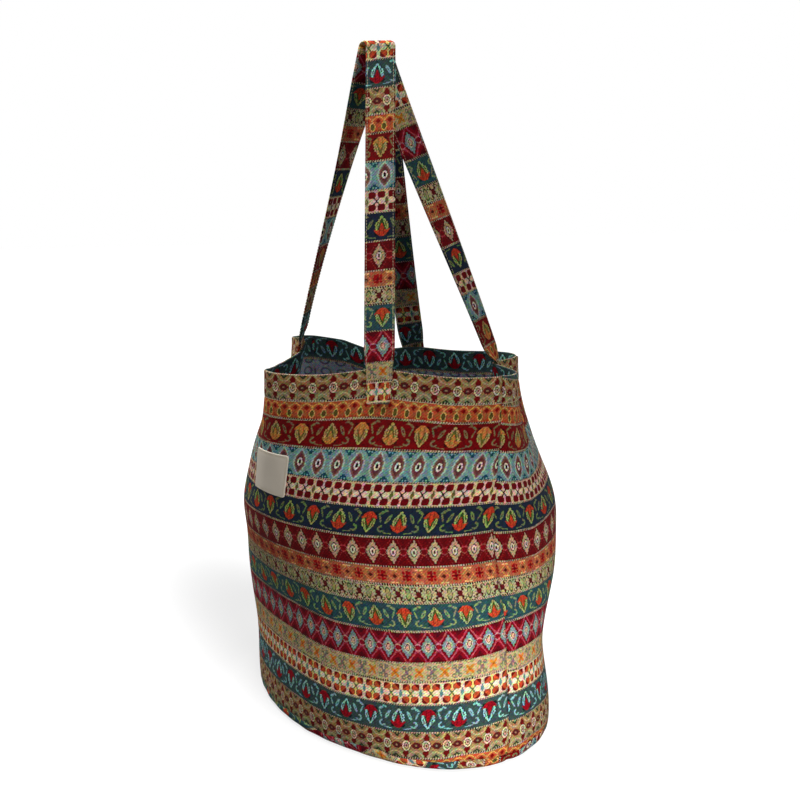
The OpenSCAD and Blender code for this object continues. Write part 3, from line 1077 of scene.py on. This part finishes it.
# %% Tree that lays the stitches
STITCH_NODES = {
    "given": "NodeGroupInput", "line": "GeometryNodeMeshToCurve", "points": "GeometryNodeCurveToPoints",
    "bead": "GeometryNodeMeshUVSphere", "size": "ShaderNodeCombineXYZ", "shape": "GeometryNodeTransform",
    "place": "GeometryNodeInstanceOnPoints", "real": "GeometryNodeRealizeInstances",
    "finish": "GeometryNodeSetMaterial", "result": "NodeGroupOutput"}
STITCH_LINKS = [
    ("given", "Line", "line", "Mesh"), ("line", "Curve", "points", "Curve"),
    ("given", "Spacing", "points", "Length"), ("given", "Thickness", "size", "X"),
    ("given", "Thickness", "size", "Y"), ("given", "Length", "size", "Z"),
    ("bead", "Mesh", "shape", "Geometry"), ("size", "Vector", "shape", "Scale"),
    ("points", "Points", "place", "Points"), ("points", "Rotation", "place", "Rotation"),
    ("shape", "Geometry", "place", "Instance"), ("place", "Instances", "real", "Geometry"),
    ("real", "Geometry", "finish", "Geometry"), ("given", "Thread", "finish", "Material"),
    ("finish", "Geometry", "result", "Stitches")]


def stitch_tree():
    tree = bpy.data.node_groups.new("row_of_stitches", "GeometryNodeTree")
    names = {}
    for name, kind in (("Line", "Geometry"), ("Spacing", "Float"), ("Length", "Float"),
                       ("Thickness", "Float"), ("Thread", "Material")):
        socket = tree.interface.new_socket(name, in_out="INPUT", socket_type="NodeSocket" + kind)
        names[name] = socket.identifier
    tree.interface.new_socket("Stitches", in_out="OUTPUT", socket_type="NodeSocketGeometry")
    nodes = {name: tree.nodes.new(kind) for name, kind in STITCH_NODES.items()}
    nodes["points"].mode = "LENGTH"
    for name, value in (("Segments", 6), ("Rings", 5), ("Radius", 0.5)):
        nodes["bead"].inputs[name].default_value = value
    for source, outlet, target, inlet in STITCH_LINKS:
        tree.links.new(nodes[source].outputs[outlet], nodes[target].inputs[inlet])
    return tree, names


stitches, stitch_inputs = stitch_tree()
print("stitch tree has", len(stitches.nodes), "nodes")


# %% Sew along lines
def sew(name, lines, spacing, length, thickness, thread):
    """Stitches along lines of spots in mm. Each line is a list of spots, open at its ends."""
    spots = []
    edges = []
    for line in lines:
        first = len(spots)
        spots += [tuple(np.array(spot) * 0.001) for spot in line]
        edges += [(k, k + 1) for k in range(first, len(spots) - 1)]
    mesh = bpy.data.meshes.new(name)
    mesh.from_pydata(spots, edges, [])
    piece = bpy.data.objects.new(name, mesh)
    bpy.context.scene.collection.objects.link(piece)
    modifier = piece.modifiers.new("stitches", "NODES")
    modifier.node_group = stitches
    for size, value in (("Spacing", spacing), ("Length", length), ("Thickness", thickness)):
        modifier[stitch_inputs[size]] = value * 0.001
    modifier[stitch_inputs["Thread"]] = thread
    bpy.context.view_layer.update()
    seen = piece.evaluated_get(bpy.context.evaluated_depsgraph_get())
    piece.data = bpy.data.meshes.new_from_object(seen)
    piece.modifiers.clear()
    piece.data.polygons.foreach_set("use_smooth", [True] * len(piece.data.polygons))
    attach(piece, "root")
    print(name, "has", len(piece.data.polygons), "faces")
    return piece


# %% Hem, feet, straps and patch
def wall_line(z, half):
    share = np.linspace(-0.249, 0.249, 300)
    return wall(share, z, -0.12, half)


hem_rows = [wall_line(HEM_LOW + 1.5, half) for half in (False, True)]
hem_stitches = sew("hem_stitches", hem_rows, 3.4, 2.7, 0.62, pale_thread)


def beside(line, far, side=1):
    """A spot just off a strap's outside or inside, at a share of its half width."""
    spots, out = line
    spot = [np.interp(far, over, spots[:, k]) for k in range(3)]
    return np.array(spot) + side * SEWN_AT * out[len(over) // 2]


def strap_seams(sign):
    """Lines near both edges of a strap on its outside and inside, and the boxes on its feet."""
    lines = strap_lines(sign)
    edge = 1 - 1.9 / (STRAP_WIDE / 2)
    rows = []
    for side in (1, -1):
        for far in (edge, -edge):
            rows.append([beside(line, far, side) for line in lines[FOOT_LINES + 1:-FOOT_LINES - 1]])
    for foot in (lines[:FOOT_LINES], lines[-FOOT_LINES:][::-1]):
        down = [beside(line, -edge) for line in foot[:2:-1]]
        rows.append(down + [beside(line, edge) for line in foot[3:]])
        spots, out = foot[12]
        rows.append([spots[k] + SEWN_AT * out[k] for k in range(1, len(over) - 1)])
    return rows


SEWN_AT = STRAP_THICK / 2 + 0.05
sew("strap_stitches", strap_seams(1) + strap_seams(-1), 3.2, 2.5, 0.5, pale_thread)


def patch_edge():
    x = PATCH_WIDE / 2 - STITCH_IN
    y = PATCH_HIGH / 2 - STITCH_IN
    loop = [(-x, -y), (x, -y), (x, y), (-x, y), (-x, -y)]
    rows = []
    for (ax, ay), (bx, by) in zip(loop, loop[1:]):
        rows.append([patch_spot(mix(ax, bx, t), mix(ay, by, t), 0.85) for t in np.linspace(0, 1, 40)])
    return rows


patch_stitches = sew("patch_stitches", patch_edge(), 2.6, 1.9, 0.42, pale_thread)

# %% [markdown]
# ## Floor, light and background
# The floor is a wide grey plane that takes the bag's shadow. For the camera alone it also
# glows, so that it meets the white background without an edge. The glow is dimmed in an oval
# at the bag's left, which paints part of the soft shadow there, and the lamps' cast shadow lies
# on top of it. A low lamp stands at the front right, a large one hangs high at the left, a
# weaker one stands behind, and the world fills in the rest.

# %% Floor
FLOOR_LEVEL = -0.0004
FLOOR_HALF = 9
# Middle and reach in metres of an oval where the floor's glow is dimmed: a painted shadow at the bag's
# left.
PAINTED_SHADOW_MIDDLE = (-0.24, -0.05, 0.0)
PAINTED_SHADOW_REACH = (0.46, 0.17, 1.0)


def seen_directly(tree):
    """One for what the camera, a mirror or a glass sees, and zero for light that lights."""
    path = tree.add("ShaderNodeLightPath").socket.node
    rays = [Strand(tree.tree, path.outputs[name]) for name in
            ("Is Camera Ray", "Is Glossy Ray", "Is Transmission Ray")]
    return rays[0] | rays[1] | rays[2]


def floor_finish():
    made, tree = material("pale_floor")
    place = tree.add("ShaderNodeTexCoord", output=3)
    way = tree.add("ShaderNodeVectorMath", {"operation": "SUBTRACT"}, {0: place, 1: PAINTED_SHADOW_MIDDLE})
    part = tree.add("ShaderNodeVectorMath", {"operation": "DIVIDE"}, {0: way, 1: PAINTED_SHADOW_REACH})
    far = tree.add("ShaderNodeVectorMath", {"operation": "LENGTH"}, {0: part}, 1)
    # The glow is dimmed towards the oval's middle, which paints a soft shadow under the lamps' cast one.
    painted_shadow_fade = tree.add("ShaderNodeMapRange", {"interpolation_type": "SMOOTHSTEP"}, {
        "Value": far, "From Min": 0.2, "From Max": 1.35, "To Min": 0.5, "To Max": 1.0})
    matt = tree.add("ShaderNodeBsdfDiffuse", {}, {"Color": (0.20, 0.20, 0.20, 1)})
    glow = tree.add("ShaderNodeEmission", {}, {"Color": seen_directly(tree) * painted_shadow_fade})
    shader = tree.add("ShaderNodeAddShader", {}, {0: matt, 1: glow})
    tree.add("ShaderNodeOutputMaterial", {}, {"Surface": shader})
    return made


floor_mesh = bpy.data.meshes.new("floor")
signs = ((-1, -1), (1, -1), (1, 1), (-1, 1))
floor_corners = [(x * FLOOR_HALF, y * FLOOR_HALF, FLOOR_LEVEL) for x, y in signs]
floor_mesh.from_pydata(floor_corners, [], [(0, 1, 2, 3)])
floor = bpy.data.objects.new("floor", floor_mesh)
floor.data.materials.append(floor_finish())
bpy.context.scene.collection.objects.link(floor)
print("floor is %d m wide" % (2 * FLOOR_HALF))


# %% Lamps and world
def lamp(name, spot, aim, size, power):
    data = bpy.data.lights.new(name, "AREA")
    data.shape = "DISK"
    data.size = size
    data.energy = power
    made = bpy.data.objects.new(name, data)
    made.location = spot
    made.rotation_euler = (Vector(aim) - Vector(spot)).to_track_quat("-Z", "Y").to_euler()
    bpy.context.scene.collection.objects.link(made)
    return made


key_lamp = lamp("key_lamp", (0.56, -0.04, 0.06), (0.1, -0.02, 0.03), 0.16, 2.1)
fill_lamp = lamp("fill_lamp", (-0.42, -0.5, 2.6), (0, 0, 0.25), 1.6, 104)
back_lamp = lamp("back_lamp", (0.01, 1.12, 2.0), (0, 0, 0.2), 1.0, 11)
world = bpy.data.worlds.new("studio")
world.use_nodes = True
world.node_tree.nodes.clear()
sky = Strand(world.node_tree)
level = seen_directly(sky) * 0.88 + 0.12
backdrop = sky.add("ShaderNodeBackground", {}, {"Color": (1, 1, 1, 1), "Strength": level})
sky.add("ShaderNodeOutputWorld", {}, {"Surface": backdrop})
bpy.context.scene.world = world
bpy.context.scene.view_settings.view_transform = "Standard"
print("lamps:", key_lamp.name, fill_lamp.name, back_lamp.name)
